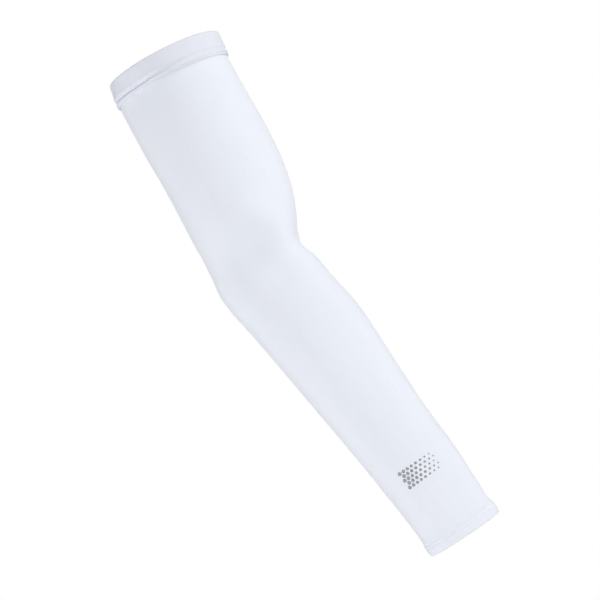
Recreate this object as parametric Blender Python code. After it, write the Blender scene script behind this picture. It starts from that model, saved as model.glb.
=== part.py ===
"""Compression sleeve for an arm, in the form it has when it is worn.

Metres. The origin is the middle of the biceps rim, +Z runs up the upper arm to the shoulder, -Y is
the front of the arm and +X the side that the forearm leans to. Every piece is first made as a
straight tube round Z, by spinning the section of its wall, and is then wrapped on the arm: the
tube's height becomes the way along the arm, its angle the way round it, and its wall the cloth.
"""
import math
from collections import namedtuple

import bmesh
import bpy
import numpy as np
from mathutils import Matrix, Vector

# Arm form
UPPER_LENGTH = 0.1695        # biceps rim to the elbow's bend, along the arm
FOREARM_LENGTH = 0.2575      # elbow's bend to the wrist end
BICEPS_WIDTH = 0.092         # side to side at the biceps rim
BICEPS_DEPTH = 0.088         # front to back at the biceps rim
WRIST_WIDTH = 0.060
WRIST_DEPTH = 0.048
ELBOW_BEND_LENGTH = 0.060    # stretch of the arm over which it turns
FOREARM_TO_SIDE = math.radians(11.6)    # forearm leans to +X
FOREARM_TO_FRONT = math.radians(8.0)    # and to the front
BICEPS_RIM_TILT = math.radians(1.9)     # rim higher at +X
WRIST_END_TILT = math.radians(-3.0)     # end lower at +X
TILT_REACH = 0.30            # share of the sleeve over which an end's tilt dies away

# Cloth
BODY_CLOTH = 0.0010          # one ply of knit
BAND_CLOTH = 0.0012          # the band's lap over the body
HEM_CLOTH = 0.0010           # the ply turned in at the wrist
BAND_HEIGHT = 0.0190
BAND_LAP = 0.0040            # how far the band's lower edge covers the body
HEM_HEIGHT = 0.0110
GAP = 0.0003                 # between two plies
STITCH_ABOVE_LAP = 0.0010    # the pulled-in stitch line, above the body's top edge
STITCH_GROOVE = 0.0006       # how deep the stitches pull the band in
STITCH_WIDTH = 0.0016
LAP_CHAMFER = 0.0004         # taken off the lap's lower outer edge

# Facets
AROUND = 36
COVERED_ROWS = 2
UPPER_ROWS = 10
ELBOW_ROWS = 13
FOREARM_ROWS = 17
HEM_ROWS = 4
RIM_ROUNDING = 4             # facets over the band's turned rim

# Half widths and depths of the body's outer face. along runs from -1 at the biceps rim through 0 at
# the elbow to 1 at the wrist end. right (+X) and left are shares of the width there, front (-Y) and
# back of the depth there, where width and depth taper evenly from the biceps to the wrist.
Section = namedtuple("Section", "along right left front back")
SECTIONS = [
    Section(-1.00, 0.483, 0.500, 0.478, 0.488),
    Section(-0.89, 0.488, 0.521, 0.480, 0.490),
    Section(-0.80, 0.502, 0.522, 0.492, 0.497),
    Section(-0.70, 0.524, 0.520, 0.509, 0.504),
    Section(-0.60, 0.547, 0.514, 0.522, 0.514),
    Section(-0.50, 0.568, 0.502, 0.535, 0.523),
    Section(-0.40, 0.579, 0.498, 0.543, 0.528),
    Section(-0.30, 0.574, 0.496, 0.546, 0.530),
    Section(-0.20, 0.548, 0.495, 0.538, 0.530),
    Section(-0.10, 0.495, 0.494, 0.523, 0.531),
    Section(-0.03, 0.441, 0.513, 0.512, 0.536),
    Section(0.03, 0.421, 0.533, 0.512, 0.541),
    Section(0.09, 0.470, 0.529, 0.535, 0.548),
    Section(0.15, 0.486, 0.515, 0.556, 0.556),
    Section(0.28, 0.540, 0.497, 0.582, 0.571),
    Section(0.40, 0.535, 0.485, 0.587, 0.570),
    Section(0.53, 0.519, 0.472, 0.572, 0.551),
    Section(0.66, 0.513, 0.459, 0.549, 0.524),
    Section(0.78, 0.526, 0.457, 0.523, 0.499),
    Section(0.90, 0.508, 0.459, 0.497, 0.481),
    Section(0.95, 0.503, 0.471, 0.492, 0.480),
    Section(0.975, 0.530, 0.494, 0.504, 0.490),
    Section(1.00, 0.515, 0.488, 0.500, 0.486),
]

# Dents (depth above 0) and swells (below 0) that lie along a line on the arm, from one end to the
# other. around is in degrees, 0 at the +X side and 90 at the front. reach, how far each fades to its
# sides, and depth are shares of the biceps width.
Fold = namedtuple("Fold", "name from_along from_around to_along to_around reach depth")
FOLDS = [
    Fold("elbow_pit", -0.12, 84, 0.00, 78, 0.165, 0.036),
    Fold("pit_left", -0.05, 86, -0.10, 110, 0.090, 0.010),
    Fold("pit_foot", 0.00, 88, 0.11, 112, 0.110, 0.013),
    Fold("inner_crease", 0.030, -10, -0.03, 53, 0.058, 0.014),
    Fold("biceps_edge", -0.03, 53, -0.17, 75, 0.070, 0.011),
    Fold("edge_lip", -0.12, 30, -0.27, 52, 0.120, -0.014),
    Fold("outer_groove", -0.86, 121, -0.30, 124, 0.125, 0.012),
    Fold("biceps_swell", -0.62, 62, -0.36, 58, 0.330, -0.012),
    Fold("elbow_point", -0.03, 226, 0.06, 236, 0.170, -0.030),
    Fold("elbow_side_hollow", -0.12, 192, -0.02, 180, 0.120, 0.009),
    Fold("forearm_groove", 0.16, 116, 0.40, 106, 0.130, 0.006),
    Fold("back_furrow", -0.72, 262, -0.30, 256, 0.160, 0.010),
]

CLOTH_WHITE = (0.86, 0.88, 0.93, 1.0)

SLEEVE_LENGTH = UPPER_LENGTH + FOREARM_LENGTH
BODY_TOP = BAND_HEIGHT - BAND_LAP
BAND_PROUD = GAP + BAND_CLOTH
TUBE_RADIUS = BICEPS_WIDTH / 2
FOLD_FALL = 2.0              # how steeply a fold dies away past its reach
SMOOTH_UP_TO = math.radians(50)


def clear_scene():
    for thing in list(bpy.data.objects):
        bpy.data.objects.remove(thing, do_unlink=True)


def place_along(share):
    """Metres from the biceps rim to a row's place, which is -1 at the rim and 1 at the wrist end."""
    if share < 0:
        return UPPER_LENGTH * (1 + share)
    return UPPER_LENGTH + FOREARM_LENGTH * share


def smooth_column(column):
    """Reads one column of SECTIONS between its rows, on a curve through them all."""
    places = np.array([place_along(row.along) for row in SECTIONS])
    values = np.array([getattr(row, column) for row in SECTIONS])
    slopes = np.gradient(values, places)

    def read(along):
        row = int(np.clip(np.searchsorted(places, along) - 1, 0, len(places) - 2))
        step = places[row + 1] - places[row]
        t = min(max((along - places[row]) / step, 0.0), 1.0)
        start = values[row] * (1 + 2 * t) * (1 - t) ** 2 + slopes[row] * step * t * (1 - t) ** 2
        end = values[row + 1] * t * t * (3 - 2 * t) - slopes[row + 1] * step * t * t * (1 - t)
        return float(start + end)

    return read


READ = {column: smooth_column(column) for column in ("right", "left", "front", "back")}


def taper(at_biceps, at_wrist, along):
    return at_biceps + (at_wrist - at_biceps) * along / SLEEVE_LENGTH


def arm_frame(along):
    """The arm's centre at a place along it, with its own side and front directions there."""
    down = Vector((0, 0, -1))
    lean = Vector((math.tan(FOREARM_TO_SIDE), -math.tan(FOREARM_TO_FRONT), 0))
    flex = math.atan(lean.length)
    lean.normalize()
    bend_start = UPPER_LENGTH - ELBOW_BEND_LENGTH / 2
    bend_radius = ELBOW_BEND_LENGTH / flex
    turned = flex * min(max((along - bend_start) / ELBOW_BEND_LENGTH, 0.0), 1.0)
    turn = Matrix.Rotation(turned, 3, down.cross(lean))
    centre = down * min(along, bend_start)
    centre += bend_radius * (math.sin(turned) * down + (1 - math.cos(turned)) * lean)
    centre += turn @ down * max(along - bend_start - ELBOW_BEND_LENGTH, 0.0)
    fade = SLEEVE_LENGTH * TILT_REACH
    tilt = BICEPS_RIM_TILT * max(1 - along / fade, 0.0)
    tilt += WRIST_END_TILT * max(1 - (SLEEVE_LENGTH - along) / fade, 0.0)
    side = turn @ Vector((math.cos(tilt), 0, math.sin(tilt)))
    front = turn @ Vector((0, -1, 0))
    return centre, side, front


def fold_depth(along, around):
    """How far all the dents and swells together push the cloth in at one place."""
    girth_radius = taper(BICEPS_WIDTH + BICEPS_DEPTH, WRIST_WIDTH + WRIST_DEPTH, along) / 4
    depth = 0.0
    for fold in FOLDS:
        start = Vector((place_along(fold.from_along), math.radians(fold.from_around) * girth_radius))
        end = Vector((place_along(fold.to_along), math.radians(fold.to_around) * girth_radius))
        middle = (fold.from_around + fold.to_around) / 2
        turn = (math.degrees(around) - middle + 180) % 360 - 180 + middle
        here = Vector((along, math.radians(turn) * girth_radius))
        line = end - start
        share = min(max((here - start).dot(line) / line.length_squared, 0.0), 1.0)
        away = (here - start - line * share).length / (fold.reach * BICEPS_WIDTH)
        depth += fold.depth * BICEPS_WIDTH * math.exp(-FOLD_FALL * away * away)
    return depth


def on_arm(along, around, proud):
    """A point on the cloth: `proud` metres outside the body's outer face."""
    centre, side, front = arm_frame(along)
    width = taper(BICEPS_WIDTH, WRIST_WIDTH, along)
    depth = taper(BICEPS_DEPTH, WRIST_DEPTH, along)
    reach_x = width * READ["right" if math.cos(around) > 0 else "left"](along)
    reach_y = depth * READ["front" if math.sin(around) > 0 else "back"](along)
    raised = proud - fold_depth(along, around)
    x = (reach_x + raised) * math.cos(around)
    y = (reach_y + raised) * math.sin(around)
    return centre + side * x + front * y


def cloth_ring(name, wall):
    """Spins a wall section, a closed loop of (along, proud) points, and wraps it on the arm."""
    bm = bmesh.new()
    corners = [bm.verts.new((TUBE_RADIUS + proud, 0, -along)) for along, proud in wall]
    edges = [bm.edges.new((corners[i - 1], corners[i])) for i in range(len(corners))]
    bmesh.ops.spin(bm, geom=corners + edges, cent=(0, 0, 0), axis=(0, 0, 1), angle=2 * math.pi,
                   steps=AROUND, use_merge=True)
    for vert in bm.verts:
        x, y, z = vert.co
        vert.co = on_arm(-z, math.atan2(y, x), math.hypot(x, y) - TUBE_RADIUS)
    bm.normal_update()
    bmesh.ops.recalc_face_normals(bm, faces=bm.faces)
    mesh = bpy.data.meshes.new(name)
    bm.to_mesh(mesh)
    bm.free()
    mesh.shade_smooth()
    mesh.set_sharp_from_angle(angle=SMOOTH_UP_TO)
    ring = bpy.data.objects.new(name, mesh)
    bpy.context.collection.objects.link(ring)
    return ring


def rows_between(start, end, count):
    """Places of `count` rows after start, the last one at end."""
    return [start + (end - start) * (i + 1) / count for i in range(count)]


def body_rows():
    elbow_top = UPPER_LENGTH - ELBOW_BEND_LENGTH / 2
    elbow_foot = UPPER_LENGTH + ELBOW_BEND_LENGTH / 2
    hem_top = SLEEVE_LENGTH - HEM_HEIGHT
    rows = [BODY_TOP]
    rows += rows_between(BODY_TOP, BAND_HEIGHT, COVERED_ROWS)
    rows += rows_between(BAND_HEIGHT, elbow_top, UPPER_ROWS)
    rows += rows_between(elbow_top, elbow_foot, ELBOW_ROWS)
    rows += rows_between(elbow_foot, hem_top, FOREARM_ROWS)
    return rows + rows_between(hem_top, SLEEVE_LENGTH, HEM_ROWS)


def make_body():
    """One ply of knit from under the band to the wrist end."""
    rows = body_rows()
    outside = [(along, 0.0) for along in rows]
    inside = [(along, -BODY_CLOTH) for along in reversed(rows)]
    return cloth_ring("sleeve_body", outside + inside)


def make_band():
    """The turned top band: thick down to its stitch line, then one thin lap over the body."""
    half = (BAND_PROUD + BODY_CLOTH) / 2
    middle = (BAND_PROUD - BODY_CLOTH) / 2
    wall = []
    for i in range(RIM_ROUNDING + 1):
        turn = math.pi * (1 - i / RIM_ROUNDING)
        wall.append((half * (1 - math.sin(turn)), middle + half * math.cos(turn)))
    stitch = BODY_TOP - STITCH_ABOVE_LAP
    wall.append(((half + stitch) / 2, BAND_PROUD))
    wall.append((stitch - STITCH_WIDTH / 2, BAND_PROUD))
    wall.append((stitch, BAND_PROUD - STITCH_GROOVE))
    wall.append((stitch + STITCH_WIDTH / 2, BAND_PROUD))
    wall.append((BAND_HEIGHT - LAP_CHAMFER, BAND_PROUD))
    wall.append((BAND_HEIGHT, BAND_PROUD - LAP_CHAMFER))
    wall.append((BAND_HEIGHT, GAP))
    wall.append((BODY_TOP - GAP, GAP))
    wall.append((BODY_TOP - GAP, -BODY_CLOTH))
    wall.append(((half + stitch) / 2, -BODY_CLOTH))
    return cloth_ring("biceps_band", wall)


def make_hem():
    """The ply turned in at the wrist, inside the body's end."""
    outer = -BODY_CLOTH - GAP
    inner = outer - HEM_CLOTH
    hem_top = SLEEVE_LENGTH - HEM_HEIGHT
    rows = [hem_top] + rows_between(hem_top, SLEEVE_LENGTH, HEM_ROWS)
    outside = [(along, outer) for along in rows]
    inside = [(along, inner) for along in reversed(rows)]
    return cloth_ring("wrist_hem", outside + inside)


def knit_material(name, roughness):
    """White stretch knit."""
    material = bpy.data.materials.new(name)
    material.use_nodes = True
    shader = material.node_tree.nodes["Principled BSDF"]
    shader.inputs["Base Color"].default_value = CLOTH_WHITE
    shader.inputs["Roughness"].default_value = roughness
    shader.inputs["Metallic"].default_value = 0.0
    return material


def main():
    clear_scene()
    make_body().data.materials.append(knit_material("body_knit", 0.80))
    make_band().data.materials.append(knit_material("band_knit", 0.85))
    make_hem().data.materials.append(knit_material("hem_knit", 0.80))


main()
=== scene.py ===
# %% [markdown]
# # A compression sleeve for the arm
# The real thing is a thin white tube of nylon and elastane knit, pulled over the arm for sport. Its
# top edge is turned over an elastic into a band, its wrist edge is turned in once, and a small grey
# film is pressed on above the wrist. There is nothing stiff in it: all that the eye reads is the
# arm's form under one smooth cloth, two stitched edges and the way soft light rolls over white knit.
# So this lesson spends its effort on the form, then on the edges, and last on the knit itself.

# %% Open the frame
import math
from collections import namedtuple

import bmesh
import bpy
import numpy as np
from mathutils import Matrix, Vector


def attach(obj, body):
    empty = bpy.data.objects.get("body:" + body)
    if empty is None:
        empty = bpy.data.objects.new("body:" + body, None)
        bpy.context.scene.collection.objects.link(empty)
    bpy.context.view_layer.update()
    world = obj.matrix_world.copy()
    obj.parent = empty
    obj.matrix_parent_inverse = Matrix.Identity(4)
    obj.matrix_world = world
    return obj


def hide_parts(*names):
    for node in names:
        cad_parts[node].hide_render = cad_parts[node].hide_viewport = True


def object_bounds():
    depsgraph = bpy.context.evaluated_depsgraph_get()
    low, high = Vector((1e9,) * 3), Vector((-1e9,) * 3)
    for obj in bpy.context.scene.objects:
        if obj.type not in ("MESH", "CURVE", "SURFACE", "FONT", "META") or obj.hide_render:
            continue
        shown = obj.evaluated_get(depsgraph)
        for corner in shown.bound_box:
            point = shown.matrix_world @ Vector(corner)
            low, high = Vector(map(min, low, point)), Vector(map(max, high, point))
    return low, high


MM = 0.001

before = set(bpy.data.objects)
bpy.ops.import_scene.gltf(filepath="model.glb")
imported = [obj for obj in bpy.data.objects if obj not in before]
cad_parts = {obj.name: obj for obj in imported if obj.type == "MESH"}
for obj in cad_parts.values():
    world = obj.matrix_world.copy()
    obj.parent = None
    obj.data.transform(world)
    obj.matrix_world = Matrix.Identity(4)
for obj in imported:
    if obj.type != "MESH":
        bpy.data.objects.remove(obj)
cad_low, cad_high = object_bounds()
print("The frame holds", sorted(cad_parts))
print("Its box is", [round(side / MM) for side in cad_high - cad_low], "mm")

# %% [markdown]
# ## The form of the worn arm
# The cloth takes its form from the arm, so the first thing to make is the arm's surface, as a rule
# and not as a mesh. A place on the sleeve has three numbers: how far along the arm it lies from the
# biceps rim, how far round it lies, counted from the inner side of the elbow through the front, and
# how proud it stands of the body's outer face. One function turns those three into a point in space.
# Everything here, from the cloth to the last stitch, is made straight and then sent through it.

# %% Sizes of the arm and the cloth
UPPER_LENGTH = 169.5 * MM
FOREARM_LENGTH = 257.5 * MM
SLEEVE_LENGTH = UPPER_LENGTH + FOREARM_LENGTH
BICEPS_WIDTH = 92 * MM
BICEPS_DEPTH = 88 * MM
WRIST_WIDTH = 60 * MM
WRIST_DEPTH = 48 * MM
ELBOW_BEND_LENGTH = 60 * MM
FOREARM_TO_SIDE = math.radians(11.6)
FOREARM_TO_FRONT = math.radians(8.0)
BICEPS_RIM_TILT = math.radians(1.9)
WRIST_END_TILT = math.radians(-3.0)
TILT_REACH = 0.30            # share of the sleeve over which an end's tilt dies away

BODY_CLOTH = 1.0 * MM
BAND_CLOTH = 1.2 * MM
HEM_CLOTH = 1.0 * MM
BAND_HEIGHT = 19 * MM
BAND_LAP = 4 * MM
HEM_HEIGHT = 11 * MM
GAP = 0.3 * MM
BAND_PROUD = GAP + BAND_CLOTH
BODY_TOP = BAND_HEIGHT - BAND_LAP
HEM_TOP = SLEEVE_LENGTH - HEM_HEIGHT
TUBE_RADIUS = BICEPS_WIDTH / 2
print(f"The sleeve is {SLEEVE_LENGTH / MM:.0f} mm long from rim to wrist end")

# %% [markdown]
# The arm isn't round. Each row below gives four reaches at one station: to the right and left as
# shares of the width there, to the front and back as shares of the depth. Width and depth themselves
# taper evenly from biceps to wrist. The station is -1 at the rim, 0 at the elbow and 1 at the wrist.
# The right and left columns follow half widths that a small program measured on the photograph's
# outline. The front column was set after trial fits to its shading.

# %% Stations along the arm
Section = namedtuple("Section", "along right left front back")
SECTIONS = [
    Section(-1.00, 0.483, 0.500, 0.478, 0.488),
    Section(-0.89, 0.488, 0.521, 0.480, 0.490),
    Section(-0.80, 0.502, 0.522, 0.492, 0.497),
    Section(-0.70, 0.524, 0.520, 0.509, 0.504),
    Section(-0.60, 0.547, 0.514, 0.524, 0.514),
    Section(-0.50, 0.568, 0.502, 0.538, 0.523),
    Section(-0.40, 0.579, 0.498, 0.549, 0.528),
    Section(-0.30, 0.574, 0.496, 0.556, 0.530),
    Section(-0.20, 0.548, 0.495, 0.552, 0.530),
    Section(-0.10, 0.495, 0.494, 0.530, 0.531),
    Section(-0.03, 0.441, 0.513, 0.510, 0.536),
    Section(0.03, 0.421, 0.533, 0.502, 0.541),
    Section(0.09, 0.470, 0.529, 0.515, 0.548),
    Section(0.15, 0.486, 0.515, 0.541, 0.556),
    Section(0.28, 0.540, 0.497, 0.573, 0.571),
    Section(0.40, 0.535, 0.485, 0.588, 0.570),
    Section(0.53, 0.519, 0.472, 0.586, 0.551),
    Section(0.66, 0.513, 0.459, 0.566, 0.524),
    Section(0.78, 0.526, 0.457, 0.535, 0.499),
    Section(0.90, 0.508, 0.459, 0.500, 0.481),
    Section(0.95, 0.503, 0.471, 0.489, 0.480),
    Section(0.975, 0.530, 0.494, 0.503, 0.490),
    Section(1.00, 0.515, 0.488, 0.500, 0.486),
]


def place_along(station):
    """Metres from the biceps rim to a station."""
    if station < 0:
        return UPPER_LENGTH * (1 + station)
    return UPPER_LENGTH + FOREARM_LENGTH * station


def smooth_column(column):
    """Reads one column between its rows, on a smooth curve through them all."""
    places = np.array([place_along(row.along) for row in SECTIONS])
    values = np.array([getattr(row, column) for row in SECTIONS])
    slopes = np.gradient(values, places)

    def read(along):
        row = np.clip(np.searchsorted(places, along) - 1, 0, len(places) - 2)
        step = places[row + 1] - places[row]
        t = np.clip((along - places[row]) / step, 0, 1)
        start = values[row] * (1 + 2 * t) * (1 - t) ** 2 + slopes[row] * step * t * (1 - t) ** 2
        end = values[row + 1] * t * t * (3 - 2 * t) - slopes[row + 1] * step * t * t * (1 - t)
        return start + end

    return read


READ = {column: smooth_column(column) for column in ("right", "left", "front", "back")}
print(len(SECTIONS), "stations describe the arm")

# %% [markdown]
# Over that comes the soft relief: the hollow in front of the elbow, the crease that runs into it from
# the inner side, the groove beside the biceps. Each is a line on the arm with a reach and a depth,
# both as shares of the biceps width, and it fades to its sides like a bell curve. A depth below zero
# is a swell. The last column is the share of the depth that is left at the line's far end. Two of the
# lines, elbow_pit and pit_foot, lie about where a trial fit to the photograph's shading put them.

# %% Dents and swells
Fold = namedtuple("Fold", "name from_along from_around to_along to_around reach depth left")
FOLD_FALL = 2.0              # how steeply a fold dies away past its reach
FOLDS = [
    Fold("biceps_swell", -0.70, 74, -0.38, 62, 0.31, -0.020, 0.7),
    Fold("biceps_crest", -0.23, 83, -0.02, 46, 0.20, -0.029, 1.0),
    Fold("outer_groove", -0.88, 127, -0.34, 122, 0.24, 0.037, 0.1),
    Fold("elbow_pit", 0.00, 99, 0.08, 82, 0.26, 0.054, 0.5),
    Fold("pit_foot", 0.05, 81, 0.16, 75, 0.20, 0.012, 0.7),
    Fold("inner_crease", 0.03, -10, 0.00, 30, 0.075, 0.014, 0.2),
    Fold("elbow_point", -0.03, 226, 0.06, 236, 0.17, -0.030, 1.0),
    Fold("elbow_side_hollow", -0.12, 192, -0.02, 180, 0.12, 0.009, 1.0),
    Fold("forearm_groove", 0.14, 124, 0.44, 118, 0.18, 0.007, 0.8),
    Fold("back_furrow", -0.72, 262, -0.30, 256, 0.16, 0.010, 1.0),
]


def taper(at_biceps, at_wrist, along):
    return at_biceps + (at_wrist - at_biceps) * along / SLEEVE_LENGTH


def girth_radius(along):
    return taper(BICEPS_WIDTH + BICEPS_DEPTH, WRIST_WIDTH + WRIST_DEPTH, along) / 4


def fold_depth(along, around):
    """How far all the dents and swells together push the cloth in."""
    radius = girth_radius(along)
    depth = np.zeros_like(along)
    for fold in FOLDS:
        middle = (fold.from_around + fold.to_around) / 2
        turn = (np.degrees(around) - middle + 180) % 360 - 180 + middle
        run_along = place_along(fold.to_along) - place_along(fold.from_along)
        run_round = math.radians(fold.to_around - fold.from_around) * radius
        here_along = along - place_along(fold.from_along)
        here_round = np.radians(turn - fold.from_around) * radius
        share = (here_along * run_along + here_round * run_round) / (run_along ** 2 + run_round ** 2)
        share = np.clip(share, 0, 1)
        away = np.hypot(here_along - run_along * share, here_round - run_round * share)
        full = fold.depth * BICEPS_WIDTH * (1 + (fold.left - 1) * share * share * (3 - 2 * share))
        depth += full * np.exp(-FOLD_FALL * (away / (fold.reach * BICEPS_WIDTH)) ** 2)
    return depth


print(len(FOLDS), "dents and swells shape the cloth")

# %% [markdown]
# The arm's middle line runs straight down, turns through the elbow on one arc and runs straight on.
# At each place along it the section lies square to the line, apart from the two ends, whose rims tilt
# a little as cut cloth does. A rotation about one fixed axis carries the side and front directions
# round the bend, so no section twists.

# %% From the straight tube to the arm
DOWN = np.array([0.0, 0.0, -1.0])
LEAN = np.array([math.tan(FOREARM_TO_SIDE), -math.tan(FOREARM_TO_FRONT), 0.0])
FLEX = math.atan(np.linalg.norm(LEAN))
LEAN = LEAN / np.linalg.norm(LEAN)
BEND_AXIS = np.cross(DOWN, LEAN)
BEND_START = UPPER_LENGTH - ELBOW_BEND_LENGTH / 2
BEND_RADIUS = ELBOW_BEND_LENGTH / FLEX


def turned(vectors, angle):
    """Vectors turned about the elbow's axis, each by its own angle."""
    cos, sin = np.cos(angle)[:, None], np.sin(angle)[:, None]
    on_axis = (vectors @ BEND_AXIS)[:, None] * BEND_AXIS
    return vectors * cos + np.cross(BEND_AXIS, vectors) * sin + on_axis * (1 - cos)


def arm_frame(along):
    """The arm's middle at places along it, with its side and front directions there."""
    angle = FLEX * np.clip((along - BEND_START) / ELBOW_BEND_LENGTH, 0, 1)
    cos, sin = np.cos(angle)[:, None], np.sin(angle)[:, None]
    middle = DOWN * np.minimum(along, BEND_START)[:, None]
    middle = middle + BEND_RADIUS * (sin * DOWN + (1 - cos) * LEAN)
    past = np.maximum(along - BEND_START - ELBOW_BEND_LENGTH, 0)[:, None]
    middle = middle + (cos * DOWN + sin * LEAN) * past
    fade = SLEEVE_LENGTH * TILT_REACH
    tilt = BICEPS_RIM_TILT * np.maximum(1 - along / fade, 0)
    tilt = tilt + WRIST_END_TILT * np.maximum(1 - (SLEEVE_LENGTH - along) / fade, 0)
    across = np.stack([np.cos(tilt), np.zeros_like(tilt), np.sin(tilt)], axis=1)
    ahead = np.tile([0.0, -1.0, 0.0], (len(along), 1))
    return middle, turned(across, angle), turned(ahead, angle)


def on_arm(along, around, proud):
    """Points in space for places on the sleeve."""
    middle, side, front = arm_frame(along)
    width = taper(BICEPS_WIDTH, WRIST_WIDTH, along)
    depth = taper(BICEPS_DEPTH, WRIST_DEPTH, along)
    reach_x = width * np.where(np.cos(around) > 0, READ["right"](along), READ["left"](along))
    reach_y = depth * np.where(np.sin(around) > 0, READ["front"](along), READ["back"](along))
    raised = proud - fold_depth(along, around)
    x = (reach_x + raised) * np.cos(around)
    y = (reach_y + raised) * np.sin(around)
    return middle + side * x[:, None] + front * y[:, None]


print(f"The elbow turns by {math.degrees(FLEX):.1f} degrees")

# %% [markdown]
# ## Helpers for making pieces
# A tube of cloth is made as a lathe would make it: the section of its wall is drawn once, as a closed
# loop of places along and proud, and spun round Z. Small things, such as stitches and the print, are
# made flat, with X round the arm, Y along it and Z standing off the cloth, and rolled on. Both then
# go through `on_arm`. The spin starts at the back seam, so the map of the cloth is cut there too.

# %% Spin, roll on and hand over
SEAM_AROUND = math.radians(-98)


def spun_wall(wall, steps):
    """A straight closed tube round Z, from a loop of (along, proud) points."""
    bm = bmesh.new()
    corners = []
    for along, proud in wall:
        radius = TUBE_RADIUS + proud
        corners.append(bm.verts.new((radius * math.cos(SEAM_AROUND), radius * math.sin(SEAM_AROUND), -along)))
    edges = [bm.edges.new((corners[i - 1], corners[i])) for i in range(len(corners))]
    bmesh.ops.spin(bm, geom=corners + edges, cent=(0, 0, 0), axis=(0, 0, 1), angle=2 * math.pi,
                   steps=steps, use_merge=True)
    return bm


def lay_cloth_map(bm):
    """A UV map in metres of cloth on a straight tube: U round it from the front, V along it."""
    cloth = bm.loops.layers.uv.new("cloth")
    full = 2 * math.pi
    for face in bm.faces:
        centre = face.calc_center_median()
        face_turn = (math.atan2(centre.y, centre.x) - SEAM_AROUND) % full
        for loop in face.loops:
            x, y, z = loop.vert.co
            turn = (math.atan2(y, x) - SEAM_AROUND) % full
            turn += full * round((face_turn - turn) / full)
            loop[cloth].uv = ((turn - math.pi) * girth_radius(-z), -z)


def wrap_tube(bm, relief=None):
    """Takes a straight tube to the arm. relief adds to how proud its outer face stands."""
    flat = np.array([vert.co[:] for vert in bm.verts])
    along = -flat[:, 2]
    around = np.arctan2(flat[:, 1], flat[:, 0])
    proud = np.hypot(flat[:, 0], flat[:, 1]) - TUBE_RADIUS
    if relief:
        proud = proud + relief(along, around, proud)
    for vert, place in zip(bm.verts, on_arm(along, around, proud)):
        vert.co = place
    bm.normal_update()
    bmesh.ops.recalc_face_normals(bm, faces=bm.faces)


def roll_on(bm, along, around):
    """Lays a flat form on the arm, with its own origin at one place."""
    flat = np.array([vert.co[:] for vert in bm.verts])
    station = np.full(len(flat), along)
    turn = around - flat[:, 0] / girth_radius(station)
    for vert, place in zip(bm.verts, on_arm(station + flat[:, 1], turn, flat[:, 2])):
        vert.co = place
    bm.normal_update()
    bmesh.ops.recalc_face_normals(bm, faces=bm.faces)


def finish_piece(name, bm, material, nodes=()):
    """A smooth-shaded object that rides with the sleeve and stands for its CAD nodes."""
    mesh = bpy.data.meshes.new(name)
    bm.to_mesh(mesh)
    bm.free()
    mesh.shade_smooth()
    mesh.materials.append(material)
    piece = bpy.data.objects.new(name, mesh)
    bpy.context.collection.objects.link(piece)
    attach(piece, "root")
    if nodes:
        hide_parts(*nodes)
    print(f"{name}: {sum(len(face.vertices) - 2 for face in mesh.polygons)} triangles")
    return piece


def rows_between(start, end, spacing):
    """Evenly spaced places after start, the last one at end, about `spacing` apart."""
    count = max(1, math.ceil((end - start) / spacing))
    return [start + (end - start) * (i + 1) / count for i in range(count)]


# %% [markdown]
# ## Materials
# White cloth is the hardest thing to light, because nothing but its shading tells its form. The knit
# is nylon with elastane, warp knitted and heat set: a smooth, close face with fine wales running
# along the arm, matt in the main, with a faint sheen at grazing angles from the round filaments.
# The colours are written as the hex values that a paint program shows, and one function turns them
# to the linear values that the shader wants. Another adds a node with its settings and links.

# %% Two small tools for materials
def srgb(hex_code):
    """A linear RGBA colour from its sRGB hex code."""
    parts = [int(hex_code[i:i + 2], 16) / 255 for i in (0, 2, 4)]
    linear = [part / 12.92 if part <= 0.04045 else ((part + 0.055) / 1.055) ** 2.4 for part in parts]
    return (*linear, 1.0)


def add_node(tree, kind, settings=None, **links):
    """Adds a node, sets its properties, and links or sets its inputs, named in lower case."""
    node = tree.nodes.new(kind)
    for key, value in (settings or {}).items():
        setattr(node, key, value)
    for key, value in links.items():
        index = key.split("_in")[-1]
        socket = node.inputs[int(index)] if index.isdigit() else node.inputs[key.replace("_", " ").title()]
        if isinstance(value, bpy.types.NodeSocket):
            tree.links.new(value, socket)
        else:
            socket.default_value = value
    return node


def new_material(name):
    material = bpy.data.materials.new(name)
    material.use_nodes = True
    tree = material.node_tree
    return material, tree, tree.nodes["Principled BSDF"]


# %% [markdown]
# A wale is a column of V-shaped loops. Its height is drawn with three waves: one rounds each column,
# one slants the two legs of the V, and one repeats them course by course. Real wales on this cloth
# are about 0.45 mm apart, too fine to show even close up, so they are drawn 0.9 mm apart and low.
# Two patterns vary the white a little: soft clouds about 45 mm across, and streaks along the arm that
# are about 2.4 mm wide and 70 mm long. The height of the wales also darkens the white in their
# furrows, as painted shade.

# %% Stretch knit
WALE_PITCH = 0.9 * MM
COURSE_PITCH = 0.75 * MM
KNIT_RELIEF = 0.05 * MM
LEG_SLANT = 1.4              # courses that a leg of the V climbs for each wale crossed
LEG_SHARE = 0.28             # share of the height that the legs vary
CLOUDS_PER_METRE = 22.0
STREAKS_PER_METRE = (420.0, 14.0, 1.0)
FURROW_PAINTED_SHADE = 0.45            # weight of the relief in the colour: painted shade in the furrows between wales
PATTERN_SHADE = 1.1          # weight of the clouds and streaks in the colour
SHADE_END = 0.1              # where on the ramp the darker white ends
FACE_START = 0.9             # where on it the lighter white begins
KNIT_ROUGHNESS = 0.78
SHEEN_ROUGHNESS = 0.45


def math_node(tree, operation, first, second=0.0):
    return add_node(tree, "ShaderNodeMath", {"operation": operation}, _in0=first, _in1=second).outputs[0]


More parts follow.
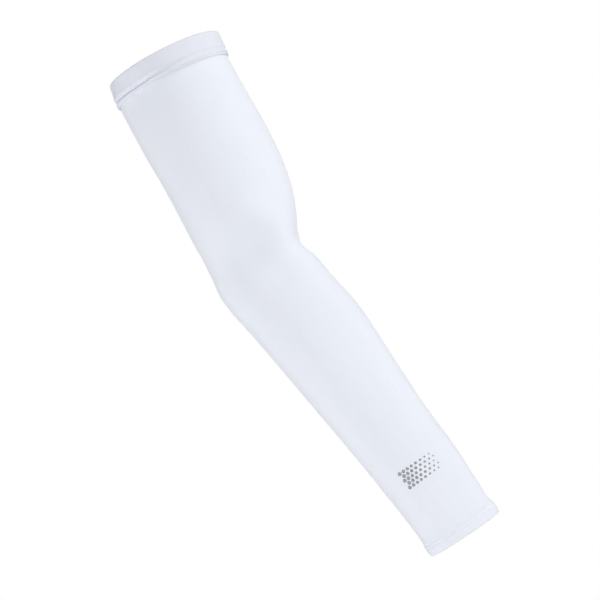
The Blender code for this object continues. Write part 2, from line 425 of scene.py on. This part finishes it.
def knit_height(tree):
    """The relief of a knitted face, 0 to 1, on the cloth's own map."""
    cloth = add_node(tree, "ShaderNodeUVMap", {"uv_map": "cloth"})
    parts = add_node(tree, "ShaderNodeSeparateXYZ", _in0=cloth.outputs["UV"])
    column = math_node(tree, "MULTIPLY", parts.outputs["X"], 1 / WALE_PITCH)
    from_edge = math_node(tree, "PINGPONG", column, 0.5)
    round_column = math_node(tree, "SINE", math_node(tree, "MULTIPLY", from_edge, math.pi))
    course = math_node(tree, "MULTIPLY", parts.outputs["Y"], 1 / COURSE_PITCH)
    slant = math_node(tree, "ADD", course, math_node(tree, "MULTIPLY", from_edge, LEG_SLANT))
    leg = math_node(tree, "SINE", math_node(tree, "MULTIPLY", slant, 2 * math.pi))
    lift = math_node(tree, "ADD", math_node(tree, "MULTIPLY", leg, LEG_SHARE), 1 - LEG_SHARE)
    return math_node(tree, "MULTIPLY", round_column, lift), cloth


def knit_material(name, face, shade, sheen):
    """Warp-knitted nylon and elastane, heat set: matt, close, faintly silky at its edges."""
    material, tree, shader = new_material(name)
    height, cloth = knit_height(tree)
    place = add_node(tree, "ShaderNodeTexCoord")
    cloud = add_node(tree, "ShaderNodeTexNoise", vector=place.outputs["Object"],
                     scale=CLOUDS_PER_METRE, detail=3.0)
    pull = add_node(tree, "ShaderNodeMapping", vector=cloth.outputs["UV"], scale=STREAKS_PER_METRE)
    streak = add_node(tree, "ShaderNodeTexNoise", vector=pull.outputs["Vector"], scale=1.0, detail=2.0)
    mixed = math_node(tree, "MULTIPLY", cloud.outputs["Fac"], streak.outputs["Fac"])
    # The low places of the knit take the darker white: painted shade in its furrows.
    depth = math_node(tree, "MULTIPLY", height, FURROW_PAINTED_SHADE)
    blend = math_node(tree, "ADD", depth, math_node(tree, "MULTIPLY", mixed, PATTERN_SHADE))
    ramp = add_node(tree, "ShaderNodeValToRGB", _in0=blend)
    ramp.color_ramp.elements[0].position = SHADE_END
    ramp.color_ramp.elements[0].color = srgb(shade)
    ramp.color_ramp.elements[1].position = FACE_START
    ramp.color_ramp.elements[1].color = srgb(face)
    tree.links.new(ramp.outputs["Color"], shader.inputs["Base Color"])
    bump = add_node(tree, "ShaderNodeBump", strength=1.0, distance=KNIT_RELIEF, height=height)
    tree.links.new(bump.outputs["Normal"], shader.inputs["Normal"])
    shader.inputs["Roughness"].default_value = KNIT_ROUGHNESS
    shader.inputs["IOR"].default_value = 1.5
    shader.inputs["Sheen Weight"].default_value = sheen
    shader.inputs["Sheen Roughness"].default_value = SHEEN_ROUGHNESS
    return material


body_knit = knit_material("warp_knit_one_ply", face="F0F3FB", shade="E9EDF6", sheen=0.12)
# The band's copy of the knit is painted darker than the body's: painted shade on the band.
band_knit_painted_shade = knit_material("warp_knit_band_painted_shade", face="E9ECF5", shade="E2E5EF", sheen=0.10)
print("Knit is drawn with", round(WALE_PITCH / MM, 2), "mm wales")

# %% [markdown]
# The thread is textured polyester, whiter and a little glossier than the knit. The print is a film
# with fine glass beads in it, pressed on hot: dull grey from most sides, with a soft metallic glint.

# %% Thread and pressed film
TWISTS_PER_METRE = 1800.0    # the thread's twist, about 0.55 mm
TWIST_RELIEF = 0.05 * MM
BEADS_PER_METRE = 2600.0     # clusters of beads, about 0.4 mm
BEAD_RELIEF = 0.03 * MM


def thread_material():
    """Textured polyester sewing thread."""
    material, tree, shader = new_material("polyester_thread")
    place = add_node(tree, "ShaderNodeTexCoord")
    twist = add_node(tree, "ShaderNodeTexNoise", vector=place.outputs["Object"],
                     scale=TWISTS_PER_METRE, detail=2.0)
    # The colour follows the twist's relief, darker where it is low: painted shade in the thread's hollows.
    ramp = add_node(tree, "ShaderNodeValToRGB", _in0=twist.outputs["Fac"])
    ramp.color_ramp.elements[0].color = srgb("E6E9F2")
    ramp.color_ramp.elements[1].color = srgb("F7F8FC")
    tree.links.new(ramp.outputs["Color"], shader.inputs["Base Color"])
    bump = add_node(tree, "ShaderNodeBump", strength=0.6, distance=TWIST_RELIEF, height=twist.outputs["Fac"])
    tree.links.new(bump.outputs["Normal"], shader.inputs["Normal"])
    shader.inputs["Roughness"].default_value = 0.5
    shader.inputs["IOR"].default_value = 1.53
    shader.inputs["Sheen Weight"].default_value = 0.2
    return material


def film_material():
    """Heat-pressed polyurethane film with glass beads."""
    material, tree, shader = new_material("pressed_bead_film")
    place = add_node(tree, "ShaderNodeTexCoord")
    beads = add_node(tree, "ShaderNodeTexVoronoi", vector=place.outputs["Object"], scale=BEADS_PER_METRE)
    ramp = add_node(tree, "ShaderNodeValToRGB", _in0=beads.outputs["Distance"])
    ramp.color_ramp.elements[0].color = srgb("B4B5BA")
    ramp.color_ramp.elements[1].color = srgb("8E9096")
    tree.links.new(ramp.outputs["Color"], shader.inputs["Base Color"])
    bump = add_node(tree, "ShaderNodeBump", strength=0.4, distance=BEAD_RELIEF,
                    height=beads.outputs["Distance"])
    tree.links.new(bump.outputs["Normal"], shader.inputs["Normal"])
    shader.inputs["Metallic"].default_value = 0.35
    shader.inputs["Roughness"].default_value = 0.42
    return material


thread = thread_material()
film = film_material()
print("Thread and film are ready")

# %% [markdown]
# ## The body
# The body is one ply from under the band to the wrist, where it turns in on itself. Its wall section
# goes down the outside, round the fold at the wrist end and back up the inside. The rows lie closer
# where the stitches pull the hem in. A straight grain seam closes the tube at the back, out of sight
# from the front, and lifts the cloth into a flat, low ridge.

# %% Knitted body
BODY_STEPS = 176
BODY_ROW = 1.7 * MM
FINE_ROW = 0.45 * MM
INSIDE_ROW = 4.5 * MM
FOLD_FACETS = 8
HEM_STITCH_ROWS = (HEM_TOP + 1.2 * MM, HEM_TOP + 4.2 * MM)
HEM_VALLEY = 0.28 * MM
VALLEY_WIDTH = 0.75 * MM
SEAM_WIDTH = 2.6 * MM
SEAM_RIDGE = 0.30 * MM
SEAM_FLATNESS = 4            # 2 would be a bell, more is flatter on top
TURNED_EDGE = BODY_CLOTH + GAP + HEM_CLOTH
FINE_BEFORE_HEM = 2 * MM
TURNED_LIP = 0.4 * MM        # how far the turned edge reaches back from the fold


def valley(along, row, width):
    """A bell-shaped dip at one row."""
    return np.exp(-((along - row) / width) ** 2)


def body_relief(along, around, proud):
    """Stitch valleys at the hem and the seam's ridge, on the outer face alone."""
    outer = np.clip(1 + proud / BODY_CLOTH, 0, 1)
    dip = sum(valley(along, row, VALLEY_WIDTH) for row in HEM_STITCH_ROWS) * HEM_VALLEY
    off_seam = (around - SEAM_AROUND + math.pi) % (2 * math.pi) - math.pi
    ridge = SEAM_RIDGE * np.exp(-(off_seam * girth_radius(along) / SEAM_WIDTH) ** SEAM_FLATNESS)
    return outer * (ridge - dip)


def body_wall():
    fine_from = HEM_TOP - FINE_BEFORE_HEM
    fold_from = SLEEVE_LENGTH - TURNED_EDGE / 2
    outside = [BODY_TOP] + rows_between(BODY_TOP, fine_from, BODY_ROW)
    outside += rows_between(fine_from, fold_from, FINE_ROW)
    wall = [(along, 0.0) for along in outside]
    for i in range(1, FOLD_FACETS):
        turn = math.pi * i / FOLD_FACETS
        reach = TURNED_EDGE / 2
        wall.append((fold_from + reach * math.sin(turn), -reach + reach * math.cos(turn)))
    wall.append((fold_from, -TURNED_EDGE))
    step_back = fold_from - TURNED_LIP
    wall.append((step_back, -TURNED_EDGE))
    wall.append((step_back, -BODY_CLOTH))
    inside = rows_between(BODY_TOP, step_back, INSIDE_ROW)[:-1]
    wall += [(along, -BODY_CLOTH) for along in reversed(inside)]
    return wall + [(BODY_TOP, -BODY_CLOTH)]


body_mesh = spun_wall(body_wall(), BODY_STEPS)
lay_cloth_map(body_mesh)
wrap_tube(body_mesh, body_relief)
body = finish_piece("knit_body", body_mesh, body_knit, ["sleeve_body"])

# %% [markdown]
# ## The turned hem
# Inside the wrist end lies the ply that was turned in. It is a short ring, from the fold up to its
# cut edge, and it shows only to someone who looks into the sleeve.

# %% Inner ply of the hem
HEM_ROW = 1.0 * MM
HEM_SHORT_OF_FOLD = 0.6 * MM


def hem_wall():
    outer = -BODY_CLOTH - GAP
    inner = outer - HEM_CLOTH
    end = SLEEVE_LENGTH - TURNED_EDGE / 2 - HEM_SHORT_OF_FOLD
    rows = [HEM_TOP] + rows_between(HEM_TOP, end, HEM_ROW)
    return [(along, outer) for along in rows] + [(along, inner) for along in reversed(rows)]


hem_mesh = spun_wall(hem_wall(), BODY_STEPS)
lay_cloth_map(hem_mesh)
wrap_tube(hem_mesh)
hem = finish_piece("turned_hem", hem_mesh, body_knit, ["wrist_hem"])

# %% [markdown]
# ## The band
# At the biceps the cloth is turned over a flat elastic and stitched down twice. The upper row is
# pulled tight, so the doubled cloth swells above it and drops into a dark line at it. The lower row
# holds the cut edge, which it presses thin, and the cloth between them stands up as a soft channel.
# The upper row is tightest over the outer side of the arm and eases to a shallow dip over the inner
# side. Each stitch puckers the line a little, which makes the band look sewn and not turned.

# %% Doubled band
BAND_STEPS = 330
RIM_FACETS = 10
BAND_ROW = 0.32 * MM
STITCH_LENGTH = 2.5 * MM
UPPER_STITCH_ROW = BODY_TOP - 1 * MM
LOWER_STITCH_ROW = BAND_HEIGHT - 1.1 * MM
UPPER_VALLEY = 1.35 * MM
UPPER_VALLEY_WIDTH = 1.0 * MM
EASED_WIDTH = 1.4 * MM
LOWER_VALLEY = 0.30 * MM
LOWER_VALLEY_WIDTH = 0.5 * MM
CHANNEL_ROW = (UPPER_STITCH_ROW + LOWER_STITCH_ROW) / 2
CHANNEL_SWELL = 0.25 * MM
CHANNEL_WIDTH = 1.3 * MM
CUFF_ROW = UPPER_STITCH_ROW - 2.4 * MM
CUFF_SWELL = 0.25 * MM
CUFF_WIDTH = 1.8 * MM
PUCKER = 0.16 * MM
EDGE_PRESS = 0.75 * MM
PRESS_FROM = LOWER_STITCH_ROW - 1.2 * MM
EDGE_ROUND = 0.35 * MM
EDGE_FACETS = 3
INSIDE_BAND_ROW = 2.5 * MM
TIGHT_SIDE = math.radians(155)
TIGHT_PAST_QUARTER = 0.1     # the pull reaches this far, as a cosine, past a quarter turn
PULL_FADE = 0.6              # the cosines over which it fades
EASED_PULL = 0.42


def stitches_round(row):
    """How many stitches go once round the sleeve at a row."""
    return round(2 * math.pi * girth_radius(row) / STITCH_LENGTH)


def row_pull(around):
    """How tight the upper row is: 1 over the outer side of the arm, little over the inner side."""
    pull = np.clip((np.cos(around - TIGHT_SIDE) + TIGHT_PAST_QUARTER) / PULL_FADE, 0, 1)
    return EASED_PULL + (1 - EASED_PULL) * pull * pull * (3 - 2 * pull)


def band_relief(along, around, proud):
    outer = np.clip((proud - GAP) / BAND_CLOTH, 0, 1)
    count = stitches_round(UPPER_STITCH_ROW)
    pull = row_pull(around)
    pucker = PUCKER * np.cos(around * count) * pull
    width = EASED_WIDTH + (UPPER_VALLEY_WIDTH - EASED_WIDTH) * pull
    upper = valley(along, UPPER_STITCH_ROW, width) * (UPPER_VALLEY * pull + pucker)
    lower = valley(along, LOWER_STITCH_ROW, LOWER_VALLEY_WIDTH) * (LOWER_VALLEY + pucker)
    channel = valley(along, CHANNEL_ROW, CHANNEL_WIDTH) * CHANNEL_SWELL * pull
    cuff = valley(along, CUFF_ROW, CUFF_WIDTH) * (CUFF_SWELL * pull + pucker)
    pressed = EDGE_PRESS * np.clip((along - PRESS_FROM) / (BAND_HEIGHT - PRESS_FROM), 0, 1)
    return outer * (channel + cuff - upper - lower - pressed)


def band_wall():
    half = (BAND_PROUD + BODY_CLOTH) / 2
    middle = (BAND_PROUD - BODY_CLOTH) / 2
    wall = []
    for i in range(RIM_FACETS + 1):
        turn = math.pi * (1 - i / RIM_FACETS)
        wall.append((half * (1 - math.sin(turn)), middle + half * math.cos(turn)))
    edge = BAND_HEIGHT - EDGE_ROUND
    wall += [(along, BAND_PROUD) for along in rows_between(half, edge, BAND_ROW)]
    for i in range(1, EDGE_FACETS + 1):
        turn = math.pi / 2 * i / EDGE_FACETS
        wall.append((edge + EDGE_ROUND * math.sin(turn), BAND_PROUD - EDGE_ROUND * (1 - math.cos(turn))))
    wall.append((BAND_HEIGHT, GAP))
    wall.append((BODY_TOP - GAP, GAP))
    wall.append((BODY_TOP - GAP, -BODY_CLOTH))
    inside = rows_between(half, BODY_TOP - GAP, INSIDE_BAND_ROW)[:-1]
    return wall + [(along, -BODY_CLOTH) for along in reversed(inside)]


band_mesh = spun_wall(band_wall(), BAND_STEPS)
lay_cloth_map(band_mesh)
wrap_tube(band_mesh, band_relief)
band = finish_piece("doubled_band", band_mesh, band_knit_painted_shade, ["biceps_band"])

# %% [markdown]
# ## Stitches
# A stitch is a short length of thread that comes up, lies on the cloth and goes down again. One is
# made as a stretched ball with few faces, and a loop sets as many as go round. They lie in the
# valleys that were pressed for them, so half of each is sunk in the cloth.

# %% Rows of stitches
THREAD = 0.42 * MM
THREAD_SIDES = 8
THREAD_RINGS = 5
TIGHT_THREAD_LIFT = 0.12 * MM
LONG_STITCH = 0.86 * STITCH_LENGTH
SHORT_STITCH = 0.80 * STITCH_LENGTH


def stitch_row(bm, row, proud, length):
    """Stitches once round the sleeve, laid end to end with a small space between."""
    count = stitches_round(row)
    for i in range(count):
        around = 2 * math.pi * i / count
        stitch = bmesh.new()
        shape = Matrix.Diagonal((length / 2, THREAD / 2, THREAD / 2, 1))
        bmesh.ops.create_uvsphere(stitch, u_segments=THREAD_SIDES, v_segments=THREAD_RINGS, radius=1,
                                  matrix=shape)
        bmesh.ops.translate(stitch, verts=stitch.verts, vec=(0, 0, proud))
        roll_on(stitch, row, around)
        loose = bpy.data.meshes.new("one_stitch")
        stitch.to_mesh(loose)
        stitch.free()
        bm.from_mesh(loose)
        bpy.data.meshes.remove(loose)


band_rows = bmesh.new()
stitch_row(band_rows, UPPER_STITCH_ROW, BAND_PROUD - UPPER_VALLEY + TIGHT_THREAD_LIFT, LONG_STITCH)
stitch_row(band_rows, LOWER_STITCH_ROW, BAND_PROUD - LOWER_VALLEY, SHORT_STITCH)
finish_piece("band_stitches", band_rows, thread)

hem_rows = bmesh.new()
for row in HEM_STITCH_ROWS:
    stitch_row(hem_rows, row, -HEM_VALLEY, SHORT_STITCH)
finish_piece("hem_stitches", hem_rows, thread)

# %% [markdown]
# ## The print
# The film above the wrist is a plain field of dots that shrink from one side to the other, a common
# way to break up a reflective patch so that the knit can still stretch. Each dot is a thin disc with
# a soft edge, rolled on to the forearm.

# %% Field of dots
PRINT_ALONG = 369 * MM
PRINT_AROUND = math.radians(86)
DOT_ROWS = 5
DOT_COLUMNS = 8
DOT_PITCH = 3.5 * MM
ROW_SHARE = 0.87             # rows lie closer than columns, because every other row is shifted by half
LARGEST_DOT = 2.9 * MM
SMALLEST_DOT = 1.1 * MM
DOT_SIDES = 20
FILM = 0.12 * MM


def dot_field():
    bm = bmesh.new()
    for row in range(DOT_ROWS):
        for column in range(DOT_COLUMNS):
            share = column / (DOT_COLUMNS - 1)
            size = LARGEST_DOT + (SMALLEST_DOT - LARGEST_DOT) * share
            x = (column + 0.5 * (row % 2) - DOT_COLUMNS / 2) * DOT_PITCH
            y = (row - (DOT_ROWS - 1) / 2) * DOT_PITCH * ROW_SHARE
            disc = bmesh.ops.create_circle(bm, cap_ends=True, segments=DOT_SIDES, radius=size / 2,
                                           matrix=Matrix.Translation((x, y, FILM)))
            face = disc["verts"][0].link_faces[0]
            foot = bmesh.ops.extrude_face_region(bm, geom=[face])
            lowered = [item for item in foot["geom"] if isinstance(item, bmesh.types.BMVert)]
            bmesh.ops.translate(bm, verts=lowered, vec=(0, 0, -2 * FILM))
    return bm


dots = dot_field()
roll_on(dots, PRINT_ALONG, PRINT_AROUND)
finish_piece("dot_print", dots, film)

# %% [markdown]
# ## The stretch of the cloth
# Worn, the knit is stretched by about a fifth over the size it was cut to.

# %% [markdown]
# ## Camera and light
# The photograph was taken straight on with a long lens and then turned in its frame, so the camera
# rolls. Its place follows from three things: the pixel where the middle of the biceps rim falls, the
# millimetres that a pixel covers there, and the angle of the upper arm in the frame.

# %% Camera
PICTURE = 600
RIM_PIXEL = (165.2, 59.5)
MM_PER_PIXEL = 0.765 * MM
ARM_ROLL = math.radians(25.2)
LENS_MM = 85
SENSOR_MM = 36

picture_right = Vector((math.cos(ARM_ROLL), 0, -math.sin(ARM_ROLL)))
picture_up = Vector((math.sin(ARM_ROLL), 0, math.cos(ARM_ROLL)))
distance = LENS_MM / SENSOR_MM * PICTURE * MM_PER_PIXEL
camera_place = picture_right * (PICTURE / 2 - RIM_PIXEL[0]) * MM_PER_PIXEL
camera_place -= picture_up * (PICTURE / 2 - RIM_PIXEL[1]) * MM_PER_PIXEL
camera_place += Vector((0, -distance, 0))

lens = bpy.data.cameras.new("camera")
lens.lens = LENS_MM
lens.sensor_width = SENSOR_MM
lens.clip_end = 50
camera = bpy.data.objects.new("camera", lens)
bpy.context.collection.objects.link(camera)
towards_camera = Vector((0, -1, 0))
turn = Matrix((picture_right, picture_up, towards_camera)).transposed()
camera.matrix_world = Matrix.Translation(camera_place) @ turn.to_4x4()
bpy.context.scene.camera = camera
bpy.context.scene.view_settings.view_transform = "Standard"
print("The camera stands", round(distance / MM), "mm in front of the sleeve")

# %% [markdown]
# White on white is a question of where the dark comes from. The sky lights the cloth hardly at all, so
# that whatever faces away from the soft boxes falls off to a pale grey. The camera itself sees the sky
# as plain white, through the one node that may ask what kind of ray it is: the sky's own.

# %% World
SKY_LIGHT = 0.085


def make_world():
    world = bpy.data.worlds.new("studio")
    bpy.context.scene.world = world
    world.use_nodes = True
    tree = world.node_tree
    shader = tree.nodes["Background"]
    path = add_node(tree, "ShaderNodeLightPath")
    seen = math_node(tree, "MAXIMUM", path.outputs["Is Camera Ray"], SKY_LIGHT)
    shader.inputs["Color"].default_value = (1.0, 1.0, 1.0, 1.0)
    tree.links.new(seen, shader.inputs["Strength"])


make_world()
print("The sky lights the cloth at", SKY_LIGHT)

# %% [markdown]
# Three soft boxes do most of the work: one at the camera and two high on its right, which leave the
# outer side of the upper arm and the hollow of the elbow in soft shade. A weak one on the left front
# keeps that shade from going dull. The box at the left side and the two at the right side and behind
# it keep the edges light, and the back pair is there for a look from behind. Each is placed by its
# bearing from the camera's side, its height over the middle of the sleeve and its power, in a table
# that reads like a lighting plan. The powers began as a trial fit to the photograph's brightness.

# %% Soft boxes
Box = namedtuple("Box", "name bearing height watts")
SOFT_BOXES = [
    Box("by_camera", 1, 0.00, 9.8),
    Box("key_high_right", 60, 1.20, 8.4),
    Box("overhead_right", 60, 2.20, 10.0),
    Box("left_front", -60, 0.00, 1.1),
    Box("left_side", -98, 0.00, 8.2),
    Box("right_side", 108, 0.10, 6.0),
    Box("right_behind", 120, -0.90, 6.0),
    Box("back_left", -150, 1.00, 3.0),
    Box("back_right", 150, 1.00, 3.0),
]
BOX_DISTANCE = 1.3
BOX_SIZE = 0.8

middle = (Vector(cad_low) + Vector(cad_high)) / 2
for box in SOFT_BOXES:
    light = bpy.data.lights.new(box.name, "AREA")
    light.shape = "SQUARE"
    light.size = BOX_SIZE
    light.energy = box.watts
    lamp = bpy.data.objects.new(box.name, light)
    bpy.context.collection.objects.link(lamp)
    bearing = math.radians(box.bearing)
    away = Vector((math.sin(bearing) * BOX_DISTANCE, -math.cos(bearing) * BOX_DISTANCE, box.height))
    lamp.location = middle + away
    lamp.rotation_euler = (-away).to_track_quat("-Z", "Y").to_euler()
    lamp.visible_camera = False
print(len(SOFT_BOXES), "soft boxes stand", BOX_DISTANCE, "m away")

# %% [markdown]
# The floor is plain and pale, and lies so far below that the photograph's view doesn't reach it.

# %% Floor
FLOOR_BELOW = 0.55
FLOOR_REACH = 1.4


def make_floor():
    """A pale floor, well below the sleeve."""
    material, tree, shader = new_material("painted_floor")
    shader.inputs["Base Color"].default_value = srgb("FBFBFC")
    shader.inputs["Roughness"].default_value = 0.9
    bm = bmesh.new()
    bmesh.ops.create_grid(bm, x_segments=1, y_segments=1, size=FLOOR_REACH)
    bmesh.ops.translate(bm, verts=bm.verts, vec=(0, 0, cad_low[2] - FLOOR_BELOW))
    mesh = bpy.data.meshes.new("floor")
    bm.to_mesh(mesh)
    bm.free()
    mesh.materials.append(material)
    floor = bpy.data.objects.new("floor", mesh)
    bpy.context.collection.objects.link(floor)


make_floor()
print("The floor lies", round(FLOOR_BELOW / MM), "mm below the sleeve")
